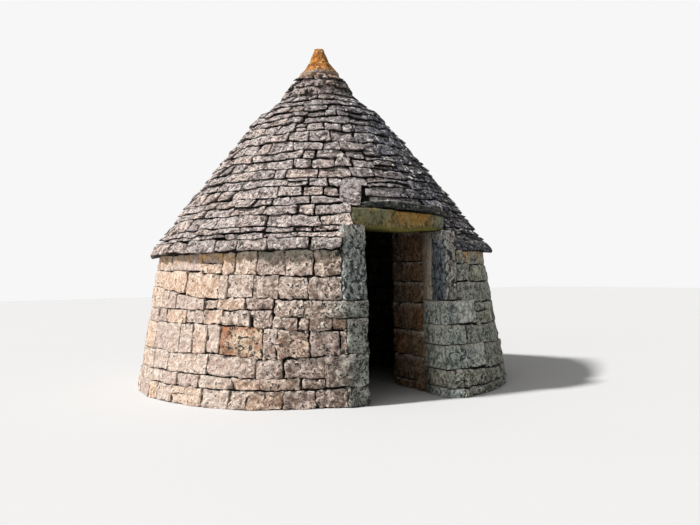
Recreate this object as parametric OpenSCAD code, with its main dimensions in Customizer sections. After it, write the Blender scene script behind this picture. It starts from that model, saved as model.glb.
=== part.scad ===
// Trullo house: a round dry-stone shelter, with a corbelled room under a roof of stepped slab courses.
// Millimetres. The origin is the centre of the room at ground level, and the doorway faces -Y.

/* [Wall] */
// Radius of the wall's outer face at the ground
base_r = 2290; // [2100:10:2500]
// Height of the wall, up to the bed under the eave
wall_h = 1560; // [1450:10:1700]
// Lean of the outer face, inward over each metre of height
wall_batter = 174; // [120:2:200]
// Radius of the round room
room_r = 1180; // [1050:10:1250]

/* [Doorway] */
// Clear width between the jambs
door_w = 898; // [800:2:960]
// Distance of the doorway's plumb front from the middle of the room
door_front = 2035; // [2000:5:2060]
// Width of the left upright stone
left_upright_w = 258; // [240:2:300]
// Width of the blocks under the left upright
left_lower_w = 230; // [200:2:240]
// Height of the blocks under the left upright
left_lower_h = 1055; // [900:5:1400]
// Width of the right upright stone at its head
right_upright_w = 168; // [140:2:220]
// How much wider the right upright is at its foot
right_upright_splay = 34; // [0:2:50]
// Width of the blocks under the right upright
right_lower_w = 126; // [110:2:130]
// Distance of those blocks' plumb face from the middle of the room
right_lower_front = 2105; // [2060:5:2140]
// Height of the blocks under the right upright
right_lower_h = 1010; // [700:5:1300]
// Depth of the stones at the doorway's mouth, from face to back
jamb_depth = 360; // [280:5:450]

/* [Lintel] */
// Depth of the lintel from face to back
lintel_depth = 300; // [240:5:340]
// Height of the lintel at its left end
lintel_h = 167; // [150:1:180]
// Fall of the lintel's bed from its left end to its right end
bed_fall = 45; // [0:5:60]
// Place of the shoulder in the lintel's head, right of the doorway's middle
shoulder_x = 300; // [200:10:400]
// Fall of the lintel's head from its left end to the shoulder
head_fall = 32; // [4:2:40]
// Fall of the lintel's head from the shoulder to its right end
tail_fall = 45; // [20:5:55]
// How far the lintel's underside swells down between the jambs
lintel_belly = 45; // [20:5:60]
// Length of lintel that bears on the left jamb
lintel_bearing_left = 150; // [80:5:180]
// Length of lintel that bears on the right jamb
lintel_bearing_right = 40; // [30:5:100]
// How far the middle of the hood slab's edge stands out past the lintel's face
hood_nose = 50; // [30:5:80]
// Radius of the hood slab's edge
hood_r = 1300; // [1100:50:1600]
// Thickness of the hood slab's right end
hood_tail_h = 57; // [40:1:60]

/* [Roof] */
// Radius of the eave's lower edge
eave_r = 2130; // [2080:5:2200]
// Lean of the roof, inward over each metre of height
roof_lean = 785; // [760:5:800]
// How far the middle of the roof's slope swells outward
roof_swell = 45; // [0:5:70]
// Heights of the slab courses, from the eave up, each from 50 to 160
course_h = [125, 62, 63, 130, 95, 94, 125, 107, 109, 110, 103, 128, 134, 122, 90, 75, 95, 92, 95];
// Depth of a slab course from its edge to its back
slab_depth = 380; // [320:5:420]
// How far each course oversails the one below
slab_lip = 16; // [6:1:30]
// Chamfer under a slab's edge
slab_chamfer = 10; // [4:1:16]

/* [Dome] */
// Height at which the corbelled rings would meet, above the wall
dome_rise = 1750; // [1700:10:1900]
// Depth of the middle lintel inside the passage
middle_lintel_depth = 300; // [240:5:340]

/* [Finial] */
// Radius of the mortared neck at its foot
neck_r = 510; // [480:5:540]
// Height of the neck
neck_h = 346; // [300:2:400]
// Radius of the pinnacle's foot
pinnacle_r = 268; // [240:2:290]
// Radius of the pinnacle's flat top
tip_r = 58; // [40:2:80]
// Height of the pinnacle
pinnacle_h = 360; // [300:5:420]

/* [Hidden] */
$fn = 240;

// Colours of the stone
wall_colour = "#cbbba0";
jamb_colour = "#8f9086";
passage_colour = "#9c7f60";
lintel_colour = "#bfa276";
slab_colour = "#8d8487";
dark_slab_colour = "#7a7477";
dome_colour = "#a39683";
neck_colour = "#a8978b";
pinnacle_colour = "#c07f2e";

// The doorway's height is also the bed of the fourth slab course
door_courses = 3;
door_h = course_z(door_courses);
// The hood slab fills what is left of the fifth course over the lintel
mouth_courses = 5;
mouth_top = course_z(mouth_courses);
roof_top = course_z(len(course_h));

// Sides of the doorway and of the masonry that lines it, measured along X
door_side = door_w / 2;
jamb_left = door_side + left_upright_w;
jamb_right = door_side + right_upright_w;
lower_left = door_side + left_lower_w;
lower_right = door_side + right_lower_w;
foot_right = jamb_right + right_upright_splay;
jamb_back = door_front - jamb_depth;

// Where the faces beside the doorway, brought forward to meet the jambs, run back into the round ones
cheek_turn_left = 42;
cheek_turn_right = 37;
// How deep the far edge of a roof cheek sits in its course
cheek_bite = 8;

// The lintel's front outline: its bed, then its head with the shoulder
lintel_left = door_side + lintel_bearing_left;
lintel_right = door_side + lintel_bearing_right;
lintel_back = door_front - lintel_depth;
lintel_top = door_h + lintel_h;
shoulder_z = lintel_top - head_fall;
tail_z = shoulder_z - tail_fall;
belly_side = door_side - 12;
belly_r = (pow(belly_side, 2) + pow(lintel_belly, 2)) / (2 * lintel_belly);

// The hood slab's ends, and the foot of its thin right end
hood_left = door_side + 6;
hood_right = jamb_right + 23;
hood_middle = (hood_right - hood_left) / 2;
hood_tail_z = tail_z - 7;
// Slabs lie over the right end of the hood from this point on
packing_x = 420;
// Front of the slab that packs the right upright up to its course
packing_front = 1885;
// Dark gaps where the eave slabs stop short of the uprights, course by course
stop_left = [16, 54, 54];
stop_right = [22, 26, 22];
lintel_gap = 12;

// Walls are cut into equal segments at the sides and back, measured in degrees from the doorway
first_cut = 65;
segment_angle = (360 - 2 * first_cut) / 5;

// A reach beyond every part, for cutting boxes
far = 3000;

// Height of the bed under a slab course, counted from zero at the eave
function course_z(i) = i == 0 ? wall_h : course_z(i - 1) + course_h[i - 1];

// Radius of the wall's outer face at a height
function wall_r(z) = base_r - wall_batter * z / 1000;

// Radius of the roof's surface at a height
function roof_r(z) =
    eave_r - roof_lean * (z - wall_h) / 1000
    + roof_swell * sin(180 * (z - wall_h) / (roof_top - wall_h));

// Courses of roof band k: the eave and band 1 share the first corbelled ring, the others have one each
function band_first(k) = 2 * k - 1;
function band_bottom(k) = k == 0 ? wall_h : course_z(band_first(k));
function band_top(k) = course_z(band_first(k) + 2);

// Radius of the back of a roof band, where its corbelled ring begins
function band_back(k) = roof_r(course_z(band_first(max(k, 1)) + 1)) - slab_depth;

// Inner radius of corbelled ring k, counted from one, as it leans in towards the capstone
function ring_bottom(k) = k == 1 ? wall_h : band_bottom(k);
function ring_middle(k) = (ring_bottom(k) + band_top(k)) / 2;
function ring_r(k) = room_r * (1 - pow((ring_middle(k) - wall_h) / dome_rise, 1.5));

// Height of the lintel's bed, and of its head left of the shoulder
function bed_z(x) = door_h - bed_fall * (x + lintel_left) / (lintel_left + lintel_right);
function head_z(x) = lintel_top - head_fall * (x + lintel_left) / (shoulder_x + lintel_left);

// Height of the hood slab's upper face, right of the shoulder
function hood_z(x) =
    mouth_top - (mouth_top - hood_tail_z - hood_tail_h) * (x - shoulder_x) / (hood_right - shoulder_x);

// A ring between two radii and two heights
module ring(inner, outer, low, high) {
    rotate_extrude()
        translate([inner, low])
            square([outer - inner, high - low]);
}

// A box in front of the middle of the room, between two X values, two depths and two heights
module front_box(x0, x1, near, away, low, high) {
    translate([x0, -away, low])
        cube([x1 - x0, away - near, high - low]);
}

// An upright outline, given in X and Z, that runs between two depths in front of the middle of the room
module front_outline(near, away) {
    translate([0, -near, 0])
        rotate([90, 0, 0])
            linear_extrude(away - near)
                children();
}

// A stretch of the round wall, between two angles measured leftward from the doorway
module wall_segment(from, to) {
    rotate_extrude(angle = to - from, start = 270 - to)
        polygon([[room_r, 0], [wall_r(0), 0], [wall_r(wall_h), wall_h], [room_r, wall_h]]);
}

// Left of the doorway the wall's face is plumb at the jamb and leans more and more up to the round wall
module left_cheek() {
    corner = [-jamb_left, -door_front];
    away = [-sin(cheek_turn_left), -cos(cheek_turn_left)];
    foot = wall_r(0) * away;
    head = wall_r(wall_h) * away;
    polyhedron(
        points = [
            [0, 0, 0], [each corner, 0], [each foot, 0],
            [0, 0, wall_h], [each corner, wall_h], [each head, wall_h]
        ],
        faces = [[2, 1, 0], [3, 4, 5], [0, 1, 4, 3], [1, 2, 4], [2, 5, 4], [2, 0, 3, 5]]
    );
}

// Right of the doorway a flat face brings the wall forward to a plumb jamb, between two heights
module right_cheek(corner, front, low, high) {
    translate([0, 0, low])
        linear_extrude(high - low)
            polygon([
                [corner, -jamb_back], [corner, -front],
                [wall_r(high) * sin(cheek_turn_right), -wall_r(high) * cos(cheek_turn_right)]
            ]);
}

// Walls beside the doorway end against the lower blocks and the uprights
module front_left_wall() {
    color(wall_colour)
        difference() {
            union() {
                wall_segment(cheek_turn_left, first_cut);
                left_cheek();
                front_box(-jamb_left, -lower_left, jamb_back, door_front, 0, left_lower_h);
            }
            translate([0, 0, -1])
                cylinder(h = wall_h + 2, r = room_r);
            front_box(-lower_left, far, 0, far, -1, left_lower_h);
            front_box(-jamb_left, far, 0, far, left_lower_h, wall_h + 1);
        }
}

module front_right_wall() {
    color(wall_colour)
        difference() {
            union() {
                wall_segment(-first_cut, 0);
                right_cheek(lower_right, right_lower_front, 0, right_lower_h);
                right_cheek(jamb_right, door_front, right_lower_h, wall_h);
            }
            front_box(-far, lower_right, 0, far, -1, right_lower_h);
            front_box(-far, jamb_right, 0, far, right_lower_h, wall_h + 1);
            front_outline(jamb_back, far)
                right_upright_outline();
        }
}

// The other walls, counted leftward around the room
module side_wall(i) {
    color(wall_colour)
        wall_segment(first_cut + i * segment_angle, first_cut + (i + 1) * segment_angle);
}

module left_lower_jamb() {
    color(jamb_colour)
        front_box(-lower_left, -door_side, jamb_back, door_front, 0, left_lower_h);
}

// The right lower blocks are plumb at the opening, and splay out at the foot to meet the leaning wall
module right_lower_jamb() {
    corner = [lower_right, -right_lower_front];
    wall_foot = [lower_right, -sqrt(pow(base_r, 2) - pow(lower_right, 2))];
    splay_h = 1000 * (base_r - norm(corner)) / wall_batter;
    color(jamb_colour) {
        front_box(door_side, lower_right, jamb_back, right_lower_front, 0, right_lower_h);
        polyhedron(
            points = [
                [door_side, -right_lower_front, 0], [each corner, 0],
                [each wall_foot, 0], [each corner, splay_h]
            ],
            faces = [[0, 2, 1], [0, 1, 3], [1, 2, 3], [2, 0, 3]]
        );
    }
}

// An upright's head is cut to the lintel's bed
module left_upright() {
    color(jamb_colour)
        front_outline(jamb_back, door_front)
            polygon([
                [-jamb_left, left_lower_h], [-door_side, left_lower_h], [-door_side, bed_z(-door_side)],
                [-lintel_left, door_h], [-jamb_left, door_h]
            ]);
}

module right_upright_outline() {
    polygon([
        [door_side, right_lower_h], [foot_right, right_lower_h], [jamb_right, bed_z(lintel_right)],
        [lintel_right, bed_z(lintel_right)], [door_side, bed_z(door_side)]
    ]);
}

module right_upright() {
    color(jamb_colour)
        front_outline(jamb_back, door_front)
            right_upright_outline();
}

// The passage's side wall behind the jamb stones, with its ends in X below and above a split
module reveal(lower, upper, split) {
    difference() {
        union() {
            front_box(lower[0], lower[1], 0, jamb_back, 0, split);
            front_box(upper[0], upper[1], 0, jamb_back, split, door_h);
        }
        translate([0, 0, -1])
            cylinder(h = door_h + 2, r = room_r);
    }
}

module left_reveal() {
    color(passage_colour)
        reveal([-lower_left, -door_side], [-jamb_left, -door_side], left_lower_h);
}

module right_reveal() {
    color(passage_colour)
        reveal([door_side, lower_right], [door_side, jamb_right], right_lower_h);
}

// The face lintel is straight, so its ends stand clear of the round roof, and its underside is bellied
module lintel() {
    color(lintel_colour)
        front_outline(lintel_back, door_front) {
            polygon([
                [-lintel_left, door_h], [lintel_right, bed_z(lintel_right)], [lintel_right, tail_z],
                [shoulder_x, shoulder_z], [-lintel_left, lintel_top]
            ]);
            intersection() {
                translate([0, bed_z(0) - lintel_belly + belly_r])
                    circle(belly_r);
                translate([-belly_side, bed_z(0) - 2 * lintel_belly])
                    square([2 * belly_side, 2 * lintel_belly + 10]);
            }
        }
}

module middle_lintel() {
    color(passage_colour)
        front_box(
            -lintel_left, lintel_right, lintel_back - middle_lintel_depth, lintel_back, door_h, mouth_top
        );
}

// The innermost lintel is faced to the corbelled ring that it joins
module inner_lintel() {
    color(passage_colour)
        difference() {
            front_box(-lintel_left, lintel_right, 0, lintel_back - middle_lintel_depth, door_h, mouth_top);
            translate([0, 0, door_h - 1])
                cylinder(h = mouth_top - door_h + 2, r = ring_r(2));
        }
}

// The hood slab lies on the lintel's head and thins towards its right end
module hood_outline(left, packing) {
    polygon([
        [-left, head_z(-left)], [shoulder_x, shoulder_z], [lintel_right, tail_z],
        [hood_right, hood_tail_z], [hood_right, hood_tail_z + hood_tail_h],
        each packing ? [[packing_x, hood_z(packing_x)], [packing_x, mouth_top]] : [[shoulder_x, mouth_top]],
        [-left, mouth_top]
    ]);
}

module hood_slab() {
    color(dark_slab_colour)
        intersection() {
            front_outline(lintel_back, far)
                hood_outline(hood_left, false);
            translate([hood_middle, hood_r - door_front - hood_nose, 0])
                cylinder(h = far, r = hood_r);
        }
}

// One slab course: the face leans with the roof, and its foot oversails the course below
module slab_course(i, back) {
    low = course_z(i);
    high = course_z(i + 1);
    foot = roof_r(low);
    head = roof_r(high) - slab_lip;
    rotate_extrude()
        polygon([
            [back, low], [foot - slab_chamfer, low], [foot, low + slab_chamfer],
            [head, high], [back, high]
        ]);
}

// Two courses that share one back
module slab_band(k) {
    slab_course(band_first(k), band_back(k));
    slab_course(band_first(k) + 1, band_back(k));
}

// Left of the doorway a course is brought forward to the face of the upright and the lintel
module slab_cheek(i, inner) {
    r = roof_r(course_z(i + 1)) - slab_lip - cheek_bite;
    translate([0, 0, course_z(i)])
        linear_extrude(course_h[i])
            polygon([
                [-inner, -jamb_back], [-inner, -door_front],
                [-r * sin(cheek_turn_left), -r * cos(cheek_turn_left)]
            ]);
}

// The space that the uprights take from an eave course
module upright_space(i) {
    front_box(-jamb_left - stop_left[i], jamb_right + stop_right[i], 0, far, course_z(i), course_z(i + 1));
}

// The space that the lintels and the hood slab take from the roof over the doorway
module lintel_space() {
    front_outline(lintel_back, far) {
        polygon([
            [-lintel_left - lintel_gap, door_h], [lintel_right + lintel_gap, door_h],
            [lintel_right + lintel_gap, tail_z], [lintel_right, tail_z], [shoulder_x, shoulder_z],
            [-lintel_left, lintel_top], [-lintel_left - lintel_gap, lintel_top]
        ]);
        hood_outline(lintel_left, true);
    }
    front_box(-lintel_left, lintel_right, 0, lintel_back, door_h, mouth_top);
}

module eave_course() {
    color(slab_colour) {
        difference() {
            slab_course(0, band_back(0));
            upright_space(0);
        }
        slab_cheek(0, jamb_left + stop_left[0]);
    }
}

module roof_slabs_1() {
    color(slab_colour) {
        difference() {
            slab_band(1);
            upright_space(1);
            upright_space(2);
        }
        for (i = [1, 2])
            slab_cheek(i, jamb_left + stop_left[i]);
    }
}

module roof_slabs_2() {
    color(slab_colour) {
        difference() {
            slab_band(2);
            lintel_space();
        }
        for (i = [3, 4])
            slab_cheek(i, lintel_left + lintel_gap);
        front_box(
            lintel_right + lintel_gap, jamb_right, jamb_back, packing_front, bed_z(lintel_right), door_h
        );
    }
}

module roof_slabs(k) {
    color(k % 2 == 0 ? slab_colour : dark_slab_colour)
        slab_band(k);
}

// The top band has nothing under it but the capstone, so it is laid solid
module roof_slabs_9() {
    color(dark_slab_colour)
        for (i = [band_first(9), band_first(9) + 1])
            slab_course(i, 0);
}

// Corbelled ring k leans in over the one below, and ends against the back of its slabs
module corbel_ring(k) {
    ring(ring_r(k), band_back(k), ring_bottom(k), band_top(k));
}

module corbel_ring_1() {
    color(dome_colour)
        difference() {
            corbel_ring(1);
            front_box(-jamb_left, jamb_right, 0, far, wall_h - 1, door_h + 1);
        }
}

module corbel_ring_2() {
    color(dome_colour)
        difference() {
            corbel_ring(2);
            front_box(-lintel_left, lintel_right, 0, far, door_h - 1, mouth_top + 1);
        }
}

module upper_corbel_ring(k) {
    color(dome_colour)
        corbel_ring(k);
}

// The capstone closes the last ring
module capstone() {
    color(dome_colour)
        translate([0, 0, band_bottom(8)])
            cylinder(h = band_top(8) - band_bottom(8), r = band_back(8));
}

// The mortared neck draws in from the last slabs to the pinnacle
module neck() {
    top = roof_top + neck_h;
    shoulder_r = (neck_r + pinnacle_r) / 2;
    color(neck_colour)
        rotate_extrude()
            polygon([
                [0, roof_top], [neck_r, roof_top], [shoulder_r + 16, roof_top + neck_h / 2],
                [pinnacle_r + 14, top - 30], [pinnacle_r, top], [0, top]
            ]);
}

// The pinnacle's side is a hollow curve, steeper towards its flat top
module pinnacle() {
    steps = 6;
    foot = roof_top + neck_h;
    color(pinnacle_colour)
        rotate_extrude()
            polygon([
                [0, foot],
                for (i = [0 : steps])
                    [
                        tip_r + (pinnacle_r - tip_r) * pow(1 - i / steps, 1.5),
                        foot + pinnacle_h * i / steps
                    ],
                [0, foot + pinnacle_h]
            ]);
}

front_left_wall();
side_wall(0);  // left_wall
side_wall(1);  // rear_left_wall
side_wall(2);  // rear_wall
side_wall(3);  // rear_right_wall
side_wall(4);  // right_wall
front_right_wall();
left_lower_jamb();
left_upright();
left_reveal();
right_lower_jamb();
right_upright();
right_reveal();
lintel();
middle_lintel();
inner_lintel();
hood_slab();
corbel_ring_1();
corbel_ring_2();
upper_corbel_ring(3);  // corbel_ring_3
upper_corbel_ring(4);  // corbel_ring_4
upper_corbel_ring(5);  // corbel_ring_5
upper_corbel_ring(6);  // corbel_ring_6
upper_corbel_ring(7);  // corbel_ring_7
capstone();
eave_course();
roof_slabs_1();
roof_slabs_2();
roof_slabs(3);  // roof_slabs_3
roof_slabs(4);  // roof_slabs_4
roof_slabs(5);  // roof_slabs_5
roof_slabs(6);  // roof_slabs_6
roof_slabs(7);  // roof_slabs_7
roof_slabs(8);  // roof_slabs_8
roof_slabs_9();
neck();
pinnacle();
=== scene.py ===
import math

import bpy
import numpy as np
from mathutils import Matrix, Vector


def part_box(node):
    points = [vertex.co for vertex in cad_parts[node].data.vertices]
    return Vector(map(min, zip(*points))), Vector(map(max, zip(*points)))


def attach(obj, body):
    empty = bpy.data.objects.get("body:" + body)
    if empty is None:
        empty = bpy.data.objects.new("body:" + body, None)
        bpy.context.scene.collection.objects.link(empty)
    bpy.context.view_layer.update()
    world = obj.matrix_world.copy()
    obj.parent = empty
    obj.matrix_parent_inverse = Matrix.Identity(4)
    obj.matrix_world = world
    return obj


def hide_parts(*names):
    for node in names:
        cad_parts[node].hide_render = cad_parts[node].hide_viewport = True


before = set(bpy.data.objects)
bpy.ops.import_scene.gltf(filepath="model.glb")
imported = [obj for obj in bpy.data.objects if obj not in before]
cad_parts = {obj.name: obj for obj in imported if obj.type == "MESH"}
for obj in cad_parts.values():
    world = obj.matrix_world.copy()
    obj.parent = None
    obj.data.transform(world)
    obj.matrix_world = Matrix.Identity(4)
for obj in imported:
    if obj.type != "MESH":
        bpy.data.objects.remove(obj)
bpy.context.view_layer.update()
print("frame loaded:", len(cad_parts), "nodes")


# Sizes that come from the frame. Angles run in degrees from the doorway, which faces -Y, round by -X.

touch = 0.002    # corners this near to a level are on it


def nodeCorners(name):
    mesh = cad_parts[name].data
    rows = np.zeros(len(mesh.vertices) * 3)
    mesh.vertices.foreach_get("co", rows)
    return rows.reshape(-1, 3)


def cornersAt(name, x):
    corners = nodeCorners(name)
    return corners[abs(corners[:, 0] - x) < touch]


def ringSize(name):
    # measured at the back, clear of the doorway
    corners = nodeCorners(name)
    if corners[:, 1].max() > 1:
        corners = corners[corners[:, 1] > 0]
    radii = np.hypot(corners[:, 0], corners[:, 1])
    low, high = corners[:, 2].min(), corners[:, 2].max()
    foot = radii[corners[:, 2] < low + touch]
    head = radii[corners[:, 2] > high - touch]
    return {"low": low, "high": high, "outer": radii.max(), "outerHead": head.max(), "inner": foot.min()}


def profileOf(name):
    corners = nodeCorners(name)
    heights = np.unique(np.round(corners[:, 2], 3))
    radii = [np.hypot(*corners[abs(corners[:, 2] - z) < touch][:, :2].T).max() for z in heights]
    return heights, np.array(radii)


wallNodes = ["front_left_wall", "left_wall", "rear_left_wall", "rear_wall", "rear_right_wall", "right_wall",
             "front_right_wall"]
bandNodes = ["roof_slabs_%d" % number for number in range(1, 10)]
corbelNodes = ["corbel_ring_%d" % number for number in range(1, 8)]

wallSize = ringSize("rear_wall")
wallTop = wallSize["high"]
roomRadius = wallSize["inner"]
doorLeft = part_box("left_reveal")[1].x
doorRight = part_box("right_reveal")[0].x
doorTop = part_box("left_upright")[1].z
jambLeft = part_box("left_upright")[0].x
uprightCorners = nodeCorners("right_upright")
footRight = uprightCorners[:, 0].max()
jambRight = uprightCorners[uprightCorners[:, 2] > doorTop - 0.06][:, 0].max()
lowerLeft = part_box("left_lower_jamb")[0].x
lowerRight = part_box("right_lower_jamb")[1].x
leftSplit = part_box("left_lower_jamb")[1].z
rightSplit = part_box("right_lower_jamb")[1].z
doorFront = -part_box("left_upright")[0].y
jambBack = -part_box("left_upright")[1].y
jambDepth = doorFront - jambBack
lowerFront = -cornersAt("right_lower_jamb", doorRight)[:, 1].min()
lintelLow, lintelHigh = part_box("lintel")

eaveSize = ringSize("eave_course")
bandSizes = [ringSize(name) for name in bandNodes]
neckHeights, neckRadii = profileOf("neck")
tipHeights, tipRadii = profileOf("pinnacle")
neckTop = neckHeights[-1]
roofHeights = [eaveSize["low"]] + [size["low"] for size in bandSizes] + [neckHeights[0]]
roofRadii = [eaveSize["outer"]] + [size["outer"] for size in bandSizes] + [neckRadii.max()]
mouthTop = bandSizes[1]["high"]


def wallRadius(z):
    return wallSize["outer"] + (wallSize["outerHead"] - wallSize["outer"]) * z / wallTop


# beside the doorway the faces of wall and roof leave the cone to meet the plumb jambs, from these angles on
cheekLeft = 42.0
cheekRight = 37.0
mouthTurn = 12.0    # nearer to the middle of the doorway the roof keeps its cone
eaveProud = 0.04    # the eave stands out in front of the upright,
slabsBack = 0.03    # and the two courses over it are nearly flush with it


def spotAt(turn, radius):
    return -radius * math.sin(math.radians(turn)), -radius * math.cos(math.radians(turn))


def chordRadius(turn, near, far):
    # how far out a ray from the middle of the room meets the line through two points
    ray = spotAt(turn, 1.0)
    line = far[0] - near[0], far[1] - near[1]
    return (near[0] * line[1] - near[1] * line[0]) / (ray[0] * line[1] - ray[1] * line[0])


def wallFace(turn, z):
    turn = (turn + 180) % 360 - 180
    cone = wallRadius(z)
    if 0 < turn < cheekLeft:
        share = z / wallTop
        corner, foot = (jambLeft, -doorFront), spotAt(cheekLeft, wallRadius(0))
        bend = tuple(share * a + (1 - share) * b for a, b in zip(corner, foot))
        if turn < math.degrees(math.atan2(-bend[0], -bend[1])):
            return chordRadius(turn, corner, bend)
        return chordRadius(turn, bend, spotAt(cheekLeft, cone))
    if -cheekRight < turn < 0:
        corner, top = (lowerRight, -lowerFront), rightSplit
        if z > rightSplit:
            corner, top = (jambRight, -doorFront), wallTop
        return max(cone, chordRadius(turn, corner, spotAt(-cheekRight, wallRadius(top))))
    return cone


def roofRadius(z):
    return float(np.interp(z, roofHeights, roofRadii))


def roofFace(turn, z):
    turn = (turn + 180) % 360 - 180
    cone = roofRadius(z)
    if mouthTurn < turn < cheekLeft and z < mouthTop:
        corner = lintelLow.x, -doorFront
        if z < doorTop:
            corner = jambLeft, -doorFront + (slabsBack if z > bandSizes[0]["low"] else -eaveProud)
        return max(cone, chordRadius(turn, corner, spotAt(cheekLeft, cone)))
    return cone


# Noise for shapes: one table of random numbers, read with smooth steps between its cells

tableSide = 32
noiseTable = np.random.default_rng(7).uniform(-1, 1, (tableSide,) * 3)
boxCorners = [(u, v, w) for u in (0, 1) for v in (0, 1) for w in (0, 1)]


def cornerWeights(shares):
    # how much each corner of a box counts at spots inside it
    for corner in boxCorners:
        along, inward, up = (shares[..., n] if far else 1 - shares[..., n] for n, far in enumerate(corner))
        yield corner, along * inward * up


def noiseAt(points, size, shift=0.0):
    spot = np.asarray(points, float) / size + shift
    cell = np.floor(spot).astype(int)
    part = spot - cell
    total = 0
    for corner, weight in cornerWeights(part * part * (3 - 2 * part)):
        total = total + weight * noiseTable[tuple(np.moveaxis((cell + corner) % tableSide, -1, 0))]
    return total


# Stones. Each starts as eight corners, indexed [along][inward][up], and becomes a worn block.

edgeSplit = 0.586    # where the second line of a worn edge lies, as a share of its width
frontDepth = 0.06    # how far in the finer part of a stone's grid reaches
wearSize, warpSize = 0.09, 0.13


def quad(spot, first, second):
    # a face of a block's grid: a spot, and one step along each of two axes
    steps = np.zeros((4, 3), int)
    steps[1:3, first] = 1
    steps[2:, second] = 1
    return [tuple(corner) for corner in steps + spot]


def blockGrid(nx, ny, nz):
    spots = [(i, j, k) for i in range(nx + 1) for j in range(ny + 1) for k in range(nz + 1)
             if i in (0, nx) or k in (0, nz) or j == 0]
    number = {spot: n for n, spot in enumerate(spots)}
    faces = []
    for i in range(nx):
        faces += [quad((i, 0, k), 0, 2) for k in range(nz)]
    for j in range(ny):
        for k in range(nz):
            faces += [quad((0, j, k), 2, 1), quad((nx, j, k), 1, 2)]
        for i in range(nx):
            faces += [quad((i, j, 0), 1, 0), quad((i, j, nz), 0, 1)]
    back = [(0, ny, k) for k in range(nz)] + [(i, ny, nz) for i in range(nx)]
    back += [(nx, ny, k) for k in range(nz, 0, -1)] + [(i, ny, 0) for i in range(nx, 0, -1)]
    faces.append(back)
    return np.array(spots), [[number[spot] for spot in face] for face in faces]


def edgeLines(share, count):
    # two lines round each worn edge, then even steps between
    middle = np.linspace(0, 1, count + 1)[None, :]
    share = share[:, None]
    second = edgeSplit * share
    inside = share + (1 - 2 * share) * middle
    return np.hstack([0 * share, second, inside, 1 - second, 0 * share + 1])


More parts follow.
